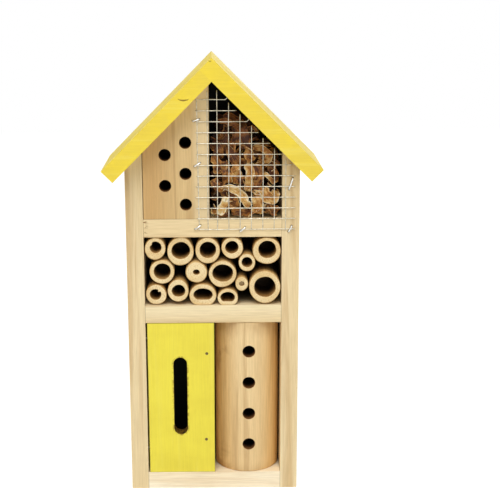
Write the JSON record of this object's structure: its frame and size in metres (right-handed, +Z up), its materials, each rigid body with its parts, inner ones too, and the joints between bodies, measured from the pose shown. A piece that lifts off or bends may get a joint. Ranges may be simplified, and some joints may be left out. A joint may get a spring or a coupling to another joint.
{
  "type": "insect hotel",
  "caption": "Gabled timber insect hotel with bamboo tubes, drilled timber, a mesh front over shavings and a slotted butterfly chamber.",
  "frame": {"origin": "on the surface it stands on, under the middle of the roof", "axes": "+X to the right of someone facing the front, +Y from front to back, +Z up"},
  "size_m": [0.125, 0.06, 0.26],
  "materials": {
    "pine_board": "bare planed pine",
    "pine_block": "bare planed pine",
    "plywood": "bare",
    "yellow_roof_paint": "matt yellow paint on pine",
    "lemon_yellow_paint": "thin lemon yellow stain on pine",
    "peeled_log": "peeled, bare",
    "shavings": "bare",
    "bamboo": "natural",
    "galvanised_wire": "galvanised",
    "bright_steel": "bright",
    "nail_steel": "dull",
    "zinc_plate": "zinc plated"
  },
  "bodies": {
    "root": {"back_nails": "nail_steel", "back_panel": "plywood", "bamboo_tube_01": "bamboo", "bamboo_tube_02": "bamboo", "bamboo_tube_03": "bamboo", "bamboo_tube_04": "bamboo", "bamboo_tube_05": "bamboo", "bamboo_tube_06": "bamboo", "bamboo_tube_07": "bamboo", "bamboo_tube_08": "bamboo", "bamboo_tube_09": "bamboo", "bamboo_tube_10": "bamboo", "bamboo_tube_11": "bamboo", "bamboo_tube_12": "bamboo", "bamboo_tube_13": "bamboo", "bamboo_tube_14": "bamboo", "bamboo_tube_15": "bamboo", "bottom_board": "pine_board", "butterfly_divider": "pine_board", "butterfly_front": "lemon_yellow_paint", "drilled_log": "peeled_log", "front_nails": "nail_steel", "gable_block": "pine_block", "hanger_plate": "zinc_plate", "hanger_screws": "bright_steel", "log_nails": "nail_steel", "mesh_staples": "bright_steel", "middle_shelf": "pine_board", "roof_board_left": "yellow_roof_paint", "roof_board_right": "yellow_roof_paint", "roof_nails": "nail_steel", "side_nails": "nail_steel", "side_panel_left": "pine_board", "side_panel_right": "pine_board", "upper_shelf": "pine_board", "wire_mesh": "galvanised_wire", "wood_shavings": "shavings"}
  },
  "joints": []
}
